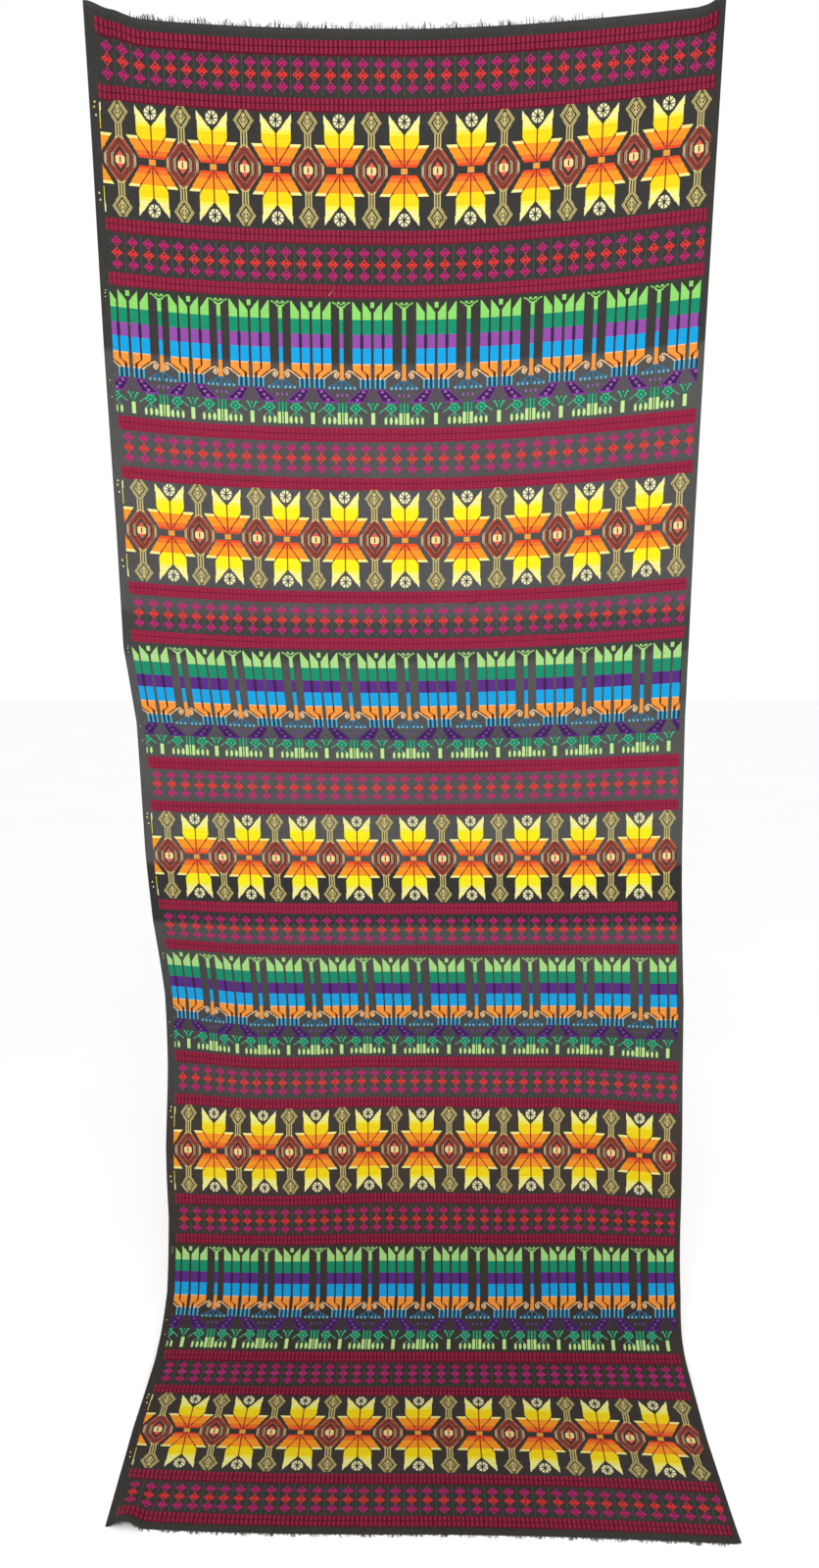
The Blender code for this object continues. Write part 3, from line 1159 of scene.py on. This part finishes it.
@dataclass(frozen=True)
class RainbowBand:
    """Feathered columns over curls, combs, eyes and pendants, in rows of every colour."""

    # The band's height in metres, and its charts' in millimetres.
    height: float = 0.1755
    chart_height: float = 174.2

    def zones(self, c: Chart, shape: np.ndarray) -> None:
        """Weave a shape in the row colours, from light green down to orange.

        Args:
            c: the chart.
            shape: its cells.
        """
        zones = ((0.0, 24.5, Leaf.LIGHT_GREEN), (24.5, 45.0, Leaf.GREEN), (45.0, 65.5, Leaf.PURPLE),
                 (65.5, 87.0, Leaf.BLUE), (87.0, 112.0, Leaf.ORANGE))
        for start, end, yarn in zones:
            c.fill(shape & (c.y >= start) & (c.y < end), yarn)

    def columns(self) -> Chart:
        """Chart one group of four feathered columns and what stands under it.

        Returns:
            The chart.
        """
        c = Chart(45.3, 0.0, self.chart_height)
        for inner, outer in ((2.4, 14.8), (17.8, 30.3)):
            feather = [(inner, 14.5), (outer - 0.8, 0.0), (outer, 0.0), (outer, 87.0), (inner, 87.0)]
            self.zones(c, c.polygon(feather))
        c.fill(c.box(0.0, 2.8, 0.0, 7.4), Leaf.LIGHT_GREEN)
        y = 87.0
        c.fill(c.box(14.0, 19.0, 45.0, 65.0), Leaf.SHADOW_PURPLE)
        outer = c.polygon([(30.3, y), (30.3, y + 9), (15.5, y + 19.5), (13, y + 22), (10, y + 22),
                           (10, y + 15.5), (17.5, y + 9.5), (18.1, y + 9), (18.1, y)])
        inner = c.polygon([(14.8, y), (14.8, y + 9.5), (6, y + 15.5), (5.6, y + 22), (2.6, y + 22),
                           (2.6, y)])
        channel = c.stroke([(16.4, y), (16.4, y + 9), (8.0, y + 15.4), (7.6, y + 22)], 3.4)
        c.fill(channel | c.stroke([(32.0, y + 8.6), (15.0, y + 21.0)], 3.0), Leaf.SHADOW_BROWN)
        c.fill(outer | inner, Leaf.ORANGE)
        c.fill((outer | inner) & (c.y < y + 1.6), Leaf.ORANGE_EDGE)
        c.fill((outer | inner) & (c.y > y + 20.2), Leaf.ORANGE_EDGE)
        curl = [(17.0, y + 22), (32, y + 11.5), (36, y + 9.6), (41.2, y + 13.3), (40.4, y + 18),
                (37, y + 20), (34.2, y + 17)]
        c.fill(c.stroke(curl, 1.9) | c.oval(36.8, y + 14.8, 2.2, 2.0), Leaf.ORANGE_EDGE)
        y = 109.6
        c.fill(c.box(2.4, 19.4, y, y + 13.0), Leaf.STEM_DARK)
        bars = c.box(2.6, 5.6, y, y + 13.2) | c.box(9.8, 12.8, y, y + 13.2) | c.box(16.8, 19.5, y, y + 13.2)
        c.fill(bars, Leaf.STEM_BLUE)
        c.fill(bars & ((c.x % 3.0) < 1.5), Leaf.STEM_PALE)
        y = 123.0
        comb = c.polygon([(3.1, y), (18.4, y), (42.0, y + 19.5), (14.3, y + 19.5)])
        rim = c.stroke([(3.1, y), (18.4, y), (42.0, y + 19.5), (14.3, y + 19.5), (3.1, y)], 3.6)
        c.fill(comb, Leaf.COMB)
        c.fill(comb & ~rim, Leaf.SHADOW_PURPLE)
        for share in (0.22, 0.5, 0.78):
            c.fill(c.oval(10.8 + 17.3 * share, y + 19.5 * share, 2.6, 1.9), Leaf.COMB_PALE)
        c.fill(c.oval(0.0, y + 12.0, 1.3, 1.8) | c.oval(6.0, y + 16.5, 1.3, 1.4), Leaf.COMB)
        self.flower(c, 143.4)
        return c

    @staticmethod
    def flower(c: Chart, y: float) -> None:
        """Chart the small flower under the middle of a group.

        Args:
            c: the chart.
            y: where it starts.
        """
        cup = c.oval(0.0, y + 0.8, 1.6, 1.3) | c.oval(6.7, y + 0.9, 2.0, 1.5)
        c.fill(cup | c.stroke([(6.0, y + 1.5), (2.8, y + 7.0), (2.4, y + 9.0)], 1.9), Leaf.TEAL_PALE)
        c.fill(c.stroke([(0.0, y + 2.6), (2.6, y + 4.8), (0.0, y + 7.0)], 1.2), Leaf.TEAL)
        c.fill(c.box(0.0, 2.4, y + 8.5, y + 14.0), Leaf.TEAL)
        c.fill(c.box(0.0, 2.6, y + 14.0, y + 30.4), Leaf.PENDANT)

    def plant(self) -> Chart:
        """Chart one slender plant with the umbrella, eyes and pendants under it.

        Returns:
            The chart.
        """
        c = Chart(41.3, 0.0, self.chart_height)
        foot = c.polygon([(0.0, 104.0), (2.9, 104.0), (4.0, 110.0), (0.0, 110.0)])
        self.zones(c, c.box(0.0, 2.9, 4.0, 110.0) | foot)
        beads = (c.oval(12.0, 1.1, 1.5, 1.2) | c.oval(9.0, 2.7, 1.5, 1.1) | c.oval(4.4, 1.3, 2.2, 1.4)
                 | c.oval(6.6, 4.3, 1.5, 1.1) | c.oval(1.5, 3.2, 1.7, 1.2) | c.oval(4.2, 6.4, 1.6, 1.3)
                 | c.box(0.0, 3.0, 7.0, 12.0))
        c.fill(c.box(0.0, 2.9, 0.0, 8.0), 0)
        c.fill(beads, Leaf.LIGHT_GREEN)
        y = 110.0
        lines = c.box(0.0, 1.0, y, y + 13.2)
        for x0, y0, x1, y1 in ((0.0, 0.0, 19.5, 10.5), (10.5, 5.6, 5.7, 10.0), (12.6, 7.0, 12.6, 10.5)):
            lines |= c.stroke([(x0, y + y0), (x1, y + y1)], 1.2)
        c.fill(lines, Leaf.STEM_BLUE)
        for x in (5.7, 12.6, 19.5):
            c.fill(c.oval(x, y + 11.6, 2.0, 1.8), Leaf.STEM_PALE)
        y = 123.0
        c.fill(c.oval(0.0, y + 9.0, 1.4, 2.4) | c.oval(7.5, y + 9.0, 1.4, 2.4), Leaf.COMB_PALE)
        y = 143.4
        c.fill(c.box(3.3, 7.6, y, y + 14.4), Leaf.TEAL)
        c.fill(c.box(4.6, 6.2, y, y + 14.4), Leaf.TEAL_PALE)
        c.fill(c.box(0.0, 1.0, y, y + 14.4), Leaf.TEAL_PALE)
        eye = np.abs(c.x - 20.5) / 8.8 + np.abs(c.y - y - 7.4) / 6.7
        c.fill(eye < 1.12, Leaf.TEAL)
        c.fill((eye < 1.12) & (eye > 0.80), Leaf.TEAL_PALE)
        c.fill((eye < 0.80) & (eye > 0.45), Leaf.TEAL)
        c.fill((eye < 0.34), Leaf.TEAL_PALE)
        for x0, y0, x1, y1 in ((15.2, 0.6, 17.6, 2.2), (25.8, 0.6, 23.4, 2.2), (28.6, 6.6, 37.4, 13.2)):
            c.fill(c.stroke([(x0, y + y0), (x1, y + y1)], 1.5), Leaf.TEAL_PALE)
        y = 157.8
        c.fill(c.box(3.3, 7.6, y, y + 16.4) | c.box(0.0, 0.9, y, y + 16.4), Leaf.PENDANT)
        for x in (12.5, 20.5, 28.5):
            c.fill(c.stroke([(20.5, y), (x, y + 6.0)], 1.1), Leaf.TEAL_PALE)
            c.fill(c.oval(x, y + 11.0, 2.4, 5.2), Leaf.PENDANT)
        return c

    def build(self, shop: Workshop, index: int, finish: Material) -> Piece:
        """Weave one rainbow band.

        Args:
            shop: where the piece is made.
            index: which rainbow it is, from the top.
            finish: the yarn's material.

        Returns:
            The band's floats.
        """
        top = FIRST_STAR_ROW + REPEAT * index + RAINBOW_START
        band = Band(top, top + self.height)
        band.repeat(self.columns(), MIDWAY_PLACES, top)
        band.repeat(self.plant(), STAR_PLACES, top)
        band.trim()
        # Rows in which a yarn's turn shows in the left selvedge.
        for number in (2, 5, 9, 100, 118):
            band.cells[number:number + 1, 5 + number % 4:7 + number % 4] = Leaf.PALE_GREEN
        first = index == 0
        dyes = {
            Leaf.LIGHT_GREEN: (146, 224, 112) if first else (172, 226, 138), Leaf.GREEN: (4, 148, 110),
            Leaf.PURPLE: (150, 78, 172) if first else (92, 40, 138), Leaf.BLUE: (4, 168, 236),
            Leaf.ORANGE: (252, 156, 58), Leaf.ORANGE_EDGE: (252, 206, 152), Leaf.STEM_BLUE: (18, 128, 176),
            Leaf.STEM_PALE: (104, 186, 222), Leaf.COMB: (128, 54, 152) if first else (84, 34, 128),
            Leaf.COMB_PALE: (164, 96, 190) if first else (116, 66, 160), Leaf.TEAL: (6, 122, 90),
            Leaf.TEAL_PALE: (68, 186, 142), Leaf.PENDANT: (196, 238, 152), Leaf.SHADOW_BROWN: (78, 34, 20),
            Leaf.SHADOW_PURPLE: (58, 26, 76), Leaf.PALE_GREEN: (186, 224, 160), Leaf.STEM_DARK: (10, 66, 92),
        }
        return shop.weave(f"rainbow_band_{index + 1}", band, Palette(dyes), finish, 2)


class Edging(IntEnum):
    """The yarns of the diamond rows and of the stripes beside them."""

    MAGENTA = 1
    CORAL = 2
    THREAD = 3
    ROSE = 4
    WINE = 5


@dataclass(frozen=True)
class DiamondBand:
    """Three rows of small diamonds between two burgundy stripes."""

    # A drawn chart of the upper half of one diamond, its middle row last.
    rows: tuple[str, ...] = (
        "......#......",
        ".....###.....",
        "....#...#....",
        "...##...##...",
        ".#####.#####.",
        "##...###...##",
    )
    cell: float = 0.63
    row: float = 0.68
    # Diamonds from one star to the next, and the places for them before the selvedges are
    # left out.
    to_a_star: float = 4.0
    count: int = 44
    # How far a plain thread passes the outer diamonds' middles, and the pitch of a stripe's
    # short floats and their share of it.
    overhang: float = 0.011
    dash_pitch: float = 0.00675
    dash_share: float = 0.60

    def build(self, shop: Workshop, name: str, start: float, stripes: tuple[Point, Point],
              middles: Spot, pink: bool, finish: Material) -> Piece:
        """Weave one edging band.

        Args:
            shop: where the piece is made.
            name: the piece's name.
            start: the star row that the places are counted from.
            stripes: the start and end of the two burgundy stripes.
            middles: the middle rows of the three rows of diamonds.
            pink: whether the middle diamonds are pink, not coral.
            finish: the yarn's material.

        Returns:
            The band's floats.
        """
        top = start + stripes[0][0]
        band = Band(top, start + stripes[1][1] + 0.001, self.cell, self.row)
        half = np.array([[mark == "#" for mark in row] for row in self.rows])
        diamond = np.concatenate((half, half[-2::-1]))
        diamond = np.repeat(np.repeat(diamond, 2, axis=0), 2, axis=1)
        rows, cells = diamond.shape
        stars = np.array([*STAR_PLACES, STAR_COLUMNS[-1] + STAR_STEP])
        places = (np.arange(self.count) + 0.5) / self.to_a_star
        columns = np.interp(places, np.arange(len(stars)), stars)
        inside = (columns > ZONE_LEFT + 0.006) & (columns < ZONE_RIGHT - 0.003)
        columns = np.unique(columns[inside])
        for x in columns:
            first = round((x + CLOTH_WIDTH / 2) / band.cell) - cells // 2
            for number, middle in enumerate(middles):
                upper = round((start + middle - band.top) / band.row) - rows // 2
                view = band.cells[upper:upper + rows, first:first + cells]
                view[diamond] = Edging.CORAL if number == 1 else Edging.MAGENTA
        upper = round((start + middles[0] - self.overhang - band.top) / band.row)
        lower = round((start + middles[2] + self.overhang - band.top) / band.row)
        for x in (columns[1:] + columns[:-1]) / 2:
            column = round((x + CLOTH_WIDTH / 2) / band.cell)
            band.cells[upper:lower, column] = Edging.THREAD
        self.dashes(band, start, stripes)
        band.trim()
        dyes = {
            Edging.MAGENTA: (210, 18, 122), Edging.CORAL: (217, 38, 140) if pink else (255, 52, 54),
            Edging.THREAD: (112, 94, 98), Edging.ROSE: (154, 34, 66), Edging.WINE: (86, 10, 32),
        }
        return shop.weave(name, band, Palette(dyes), finish, 3, longest=22, tallest=7)

    def dashes(self, band: Band, start: float, stripes: tuple[Point, Point]) -> None:
        """Weave the two rows of short floats along each burgundy stripe.

        Args:
            band: the canvas.
            start: the star row that the places are counted from.
            stripes: the start and end of the two stripes.
        """
        x = (np.arange(band.columns) + 0.5) * band.cell
        dash = (x % self.dash_pitch) / self.dash_pitch < self.dash_share
        for first, last in stripes:
            upper = (start + first - band.top) / band.row
            lower = (start + last - band.top) / band.row
            middle = (upper + lower) / 2
            for low, high in ((upper + 2.0, middle - 1.0), (middle + 1.0, lower - 2.0)):
                view = band.cells[round(low):round(high)]
                view[:, dash] = Edging.ROSE
            band.cells[round(middle - 0.5):round(middle + 0.5), :] = Edging.WINE


@dataclass(frozen=True)
class Fringe:
    """Cut warp ends that stand out of one raw edge."""

    name: str
    node: str
    edge: float
    outward: float
    start: float
    end: float
    count: int
    shortest: float
    longest: float
    seed: int
    thickness: float = 0.00070
    # How far a thread reaches back over the cloth, and its levels and sides.
    root: float = 0.0015
    levels: int = 5
    sides: int = 3

    def build(self, shop: Workshop, finish: Material) -> Piece:
        """Make every thread as a small three-sided tube that bends a little.

        Args:
            shop: where the piece is made.
            finish: the threads' material.

        Returns:
            The joined threads.
        """
        rng = np.random.default_rng(self.seed)
        base = np.sort(rng.uniform(self.start, self.end, self.count)) * CLOTH_WIDTH
        clump = np.sin(base * 310.0) * 0.0011 + np.sin(base * 97.0 + 1.0) * 0.0012
        length = rng.uniform(self.shortest, self.longest, self.count)
        length = length * (0.8 + 0.35 * np.sin(base * 173.0 + 2.0))
        sway = clump + rng.normal(0.0, 0.0011, self.count)
        rise = rng.uniform(-0.0004, 0.0009, self.count)
        share = np.linspace(0.0, 1.0, self.levels)
        angle = np.arange(self.sides) * 2.0 * math.pi / self.sides
        width = self.thickness * (1.0 - 0.45 * share)
        x = base[:, None, None] + sway[:, None, None] * (share ** 1.6)[None, :, None]
        x = x + width[None, :, None] * np.cos(angle)[None, None, :]
        out = (length[:, None, None] + self.root) * share[None, :, None] - self.root
        y = -(self.edge + self.outward * out)
        z = rise[:, None, None] * (share ** 2)[None, :, None]
        z = z + width[None, :, None] * np.sin(angle)[None, None, :]
        points = np.stack(np.broadcast_arrays(x, y, z), axis=-1).reshape(-1, 3)
        ring = np.arange(self.sides)
        faces = []
        for level in range(self.levels - 1):
            low = level * self.sides + ring
            high = low + self.sides
            faces.append(np.stack((low, np.roll(low, -1), np.roll(high, -1), high), axis=1))
        quads = np.concatenate(faces)
        if self.outward < 0:
            quads = quads[:, ::-1]
        firsts = np.arange(self.count)[:, None, None] * self.levels * self.sides
        quads = (firsts + quads[None]).reshape(-1, 4)
        mesh = bpy.data.meshes.new(self.name)
        mesh.from_pydata(points.tolist(), [], quads.tolist())
        loose = bmesh.new()
        loose.from_mesh(mesh)
        bmesh.ops.holes_fill(loose, edges=[e for e in loose.edges if e.is_boundary],
                            sides=self.sides)
        loose.to_mesh(mesh)
        shop.hang(mesh)
        loose.clear()
        loose.from_mesh(mesh)
        bmesh.ops.recalc_face_normals(loose, faces=loose.faces)
        loose.to_mesh(mesh)
        loose.free()
        mesh.shade_smooth()
        return shop.enter(self.name, mesh, finish, self.node)


@dataclass(frozen=True)
class LooseThreads:
    """A few pulled yarns that lie on the front of the cloth."""

    # Across, along, length, turn in degrees, bow, and colour.
    threads: tuple[tuple[float, float, float, float, float, Colour], ...] = (
        (-0.115, 0.352, 0.016, 60.0, 0.003, (184, 202, 160)),
        (0.098, 0.806, 0.026, 24.0, 0.005, (58, 20, 30)),
        (-0.004, 1.392, 0.030, 84.0, 0.002, (20, 20, 22)),
        (0.001, 1.452, 0.036, 92.0, 0.002, (120, 126, 118)),
        (0.052, 0.250, 0.010, 15.0, 0.001, (60, 52, 20)),
        (-0.424, 0.406, 0.020, 12.0, 0.003, (150, 116, 168)),
        (0.224, 2.378, 0.018, 100.0, 0.005, (200, 60, 44)),
    )
    radius: float = 0.00035
    sides: int = 5
    steps: int = 10
    # Height over the cloth, and the turn in radians for each metre of bow.
    lift: float = 0.0007
    bend: float = 300.0

    def build(self, shop: Workshop, finish: Material) -> Piece:
        """Make the threads as one mesh of thin bowed tubes.

        Args:
            shop: where the piece is made.
            finish: the yarn's material.

        Returns:
            The joined threads.
        """
        mesh = bmesh.new()
        thread_of = mesh.faces.layers.int.new("thread")
        for number, (across, along, length, turn, bow, _) in enumerate(self.threads, 1):
            circle = bmesh.ops.create_circle(mesh, cap_ends=True, segments=self.sides, radius=self.radius)
            ring = circle["verts"]
            heading = math.radians(turn)
            height = CLOTH_THICKNESS / 2 + self.lift
            for vertex in ring:
                vertex.co = (across, -along + vertex.co.x, height + vertex.co.y)
            faces = [face for face in mesh.faces if all(vertex in ring for vertex in face.verts)]
            stride = length / self.steps
            for step in range(self.steps):
                angle = heading + (step / (self.steps - 1) - 0.5) * bow * self.bend
                grown = bmesh.ops.extrude_face_region(mesh, geom=faces)["geom"]
                if step:
                    bmesh.ops.delete(mesh, geom=faces, context="FACES_ONLY")
                faces = [part for part in grown if isinstance(part, bmesh.types.BMFace)]
                moved = [part for part in grown if isinstance(part, bmesh.types.BMVert)]
                shift = (math.cos(angle) * stride, math.sin(angle) * stride, 0.0)
                bmesh.ops.translate(mesh, verts=moved, vec=shift)
            for face in mesh.faces:
                if face[thread_of] == 0:
                    face[thread_of] = number
        bmesh.ops.recalc_face_normals(mesh, faces=mesh.faces)
        data = bpy.data.meshes.new("loose_threads")
        mesh.to_mesh(data)
        mesh.free()
        shop.put_map(data, PLACE_MAP, shop.corner_places(data)[:, :2])
        dye = data.color_attributes.new(YARN_COLOUR, "FLOAT_COLOR", "CORNER")
        threads = np.zeros(len(data.polygons), int)
        data.attributes["thread"].data.foreach_get("value", threads)
        for face in data.polygons:
            colour = Nodes.solid(self.threads[threads[face.index] - 1][5])
            for index in face.loop_indices:
                dye.data[index].color = colour
        shop.hang(data)
        data.shade_smooth()
        return shop.enter("loose_threads", data, finish, "cloth")


@dataclass(frozen=True)
class Studio:
    """The pale floor, the soft lights and the camera at the photograph's angle."""

    floor_height: float = -2.0912
    camera_place: Spot = (0.007, -1.78, -0.739)
    camera_pitch: float = 14.81
    camera_rise: float = 0.0375
    lens: float = 24.48
    floor_half: float = 9.0

    def floor(self) -> None:
        """Lay the pale floor."""
        mesh = bmesh.new()
        bmesh.ops.create_grid(mesh, x_segments=8, y_segments=8, size=self.floor_half)
        bmesh.ops.translate(mesh, verts=mesh.verts, vec=(0.0, 0.0, self.floor_height))
        data = bpy.data.meshes.new("studio_floor")
        mesh.to_mesh(data)
        mesh.free()
        n = Nodes("pale_floor")
        grain = n.noise(n.add("ShaderNodeTexCoord").outputs["Object"], 3.0)
        tone = n.ramp(grain, [(0.0, (250, 250, 250)), (1.0, (254, 254, 254))])
        n.surface(tone, 0.9, specular=0.1)
        data.materials.append(n.material)
        floor = bpy.data.objects.new("studio_floor", data)
        bpy.context.scene.collection.objects.link(floor)

    def light(self, name: str, place: Spot, aim: Spot, size: Point, power: float) -> None:
        """Hang one soft light and turn it to its aim.

        Args:
            name: the light's name.
            place: where it hangs.
            aim: where it points.
            size: its width and height.
            power: its power in watts.
        """
        lamp = bpy.data.lights.new(name, "AREA")
        lamp.shape = "RECTANGLE"
        lamp.size, lamp.size_y = size
        lamp.energy = power
        obj = bpy.data.objects.new(name, lamp)
        obj.location = place
        away = np.array(place) - np.array(aim)
        flat = math.hypot(away[0], away[1])
        obj.rotation_euler = (math.atan2(flat, away[2]), 0.0, math.atan2(away[0], -away[1]))
        obj.visible_camera = False
        bpy.context.scene.collection.objects.link(obj)

    def build(self) -> None:
        """Set up the floor, the world, the lights and the camera."""
        self.floor()
        scene = bpy.context.scene
        world = bpy.data.worlds.new("pale_studio")
        world.use_nodes = True
        back = world.node_tree.nodes["Background"]
        back.inputs["Color"].default_value = (1.0, 1.0, 1.0, 1.0)
        back.inputs["Strength"].default_value = 1.0
        scene.world = world
        scene.view_settings.view_transform = "Standard"
        self.light("key_light", (-0.15, -1.75, -0.35), (0.0, 0.0, -0.75), (0.9, 0.7), 16.0)
        self.light("side_light", (1.6, -1.6, 0.3), (0.0, 0.0, -0.9), (1.0, 1.6), 9.0)
        camera = bpy.data.cameras.new("camera")
        camera.lens = self.lens
        camera.sensor_width = 36.0
        camera.shift_y = self.camera_rise
        camera.clip_end = 60.0
        obj = bpy.data.objects.new("camera", camera)
        obj.location = self.camera_place
        obj.rotation_euler = (math.radians(90.0 - self.camera_pitch), 0.0, 0.0)
        scene.collection.objects.link(obj)
        scene.camera = obj


@dataclass
class Skirt:
    """The whole skirt cloth, built in the order in which it is made."""

    shop: Workshop = field(default_factory=Workshop)

    def build(self) -> None:
        ground = Panel().build(self.shop)
        yarn = YarnFinish("brocade_yarn").build()
        fine = YarnFinish("edging_yarn", row_pitch=0.00136).build()
        for index in range(ROWS):
            StarBand().build(self.shop, index, yarn)
        for index in range(ROWS - 1):
            RainbowBand().build(self.shop, index, yarn)
        for index in range(ROWS):
            start = FIRST_STAR_ROW + REPEAT * index
            for side, stripes, middles, pink in (
                ("upper", UPPER_STRIPES, UPPER_DIAMONDS, index == ROWS - 1),
                ("lower", LOWER_STRIPES, LOWER_DIAMONDS, False),
            ):
                name = f"edging_band_{index + 1}_{side}"
                DiamondBand().build(self.shop, name, start, stripes, middles, pink, fine)
        warp = WarpFinish().build()
        top = Fringe("top_warp_ends", "top_fringe", edge=0.0, outward=-1.0, start=-0.430, end=0.310,
                     count=380, shortest=0.0035, longest=0.0085, seed=11)
        bottom = Fringe("bottom_warp_ends", "bottom_fringe", edge=CLOTH_LENGTH, outward=1.0, start=-0.485,
                        end=0.485, count=560, shortest=0.0022, longest=0.0055, seed=12)
        for fringe in (top, bottom):
            fringe.build(self.shop, warp)
        LooseThreads().build(self.shop, yarn)


def main() -> None:
    """Load the frame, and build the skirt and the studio."""
    logging.basicConfig(level=logging.INFO, format="%(name)s: %(message)s")
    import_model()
    Studio().build()
    LOG.info("studio ready")
    Skirt().build()
    LOG.info("skirt ready")


if __name__ == "__main__":
    main()
